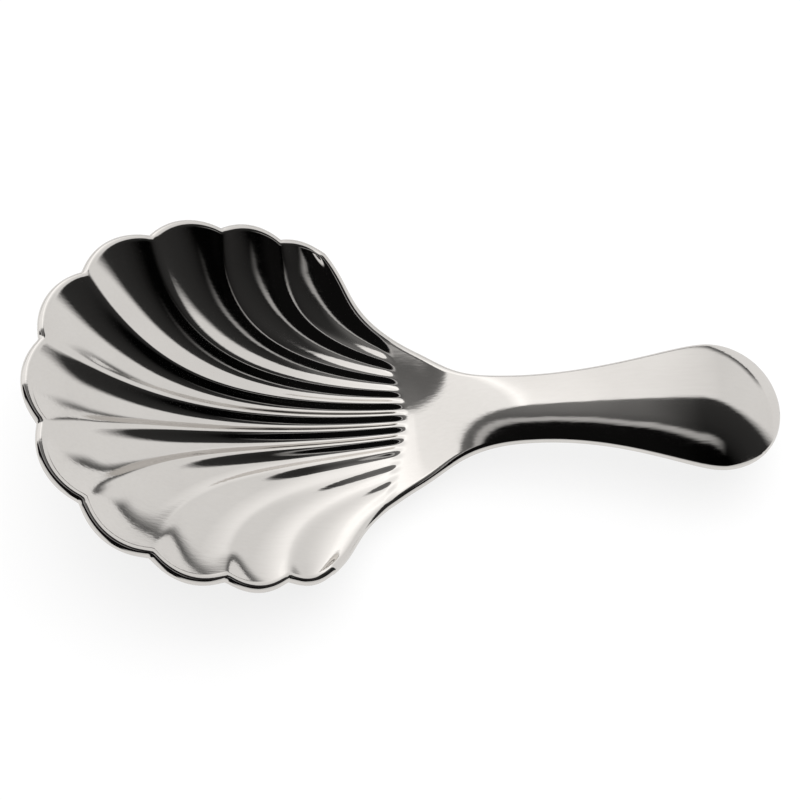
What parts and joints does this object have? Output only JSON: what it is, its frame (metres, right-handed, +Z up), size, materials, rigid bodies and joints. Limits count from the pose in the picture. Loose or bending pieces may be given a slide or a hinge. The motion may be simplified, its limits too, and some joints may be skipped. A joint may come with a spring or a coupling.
{
  "type": "tea scoop",
  "caption": "Scallop-shell tea scoop in polished steel sheet: a fluted bowl with a scalloped rim lifts dry tea from a caddy, held by a short domed handle.",
  "frame": {"origin": "on the table, under the centre of the scoop's bounding box", "axes": "+X from the bowl's tip to the handle's end, +Y across the scoop, +Z up, as the scoop rests on its belly"},
  "size_m": [0.09, 0.0462, 0.016],
  "materials": {
    "bowl_steel": "mirror polished",
    "handle_steel": "mirror polished"
  },
  "bodies": {
    "root": {"bowl": "bowl_steel", "handle": "handle_steel"}
  },
  "joints": []
}
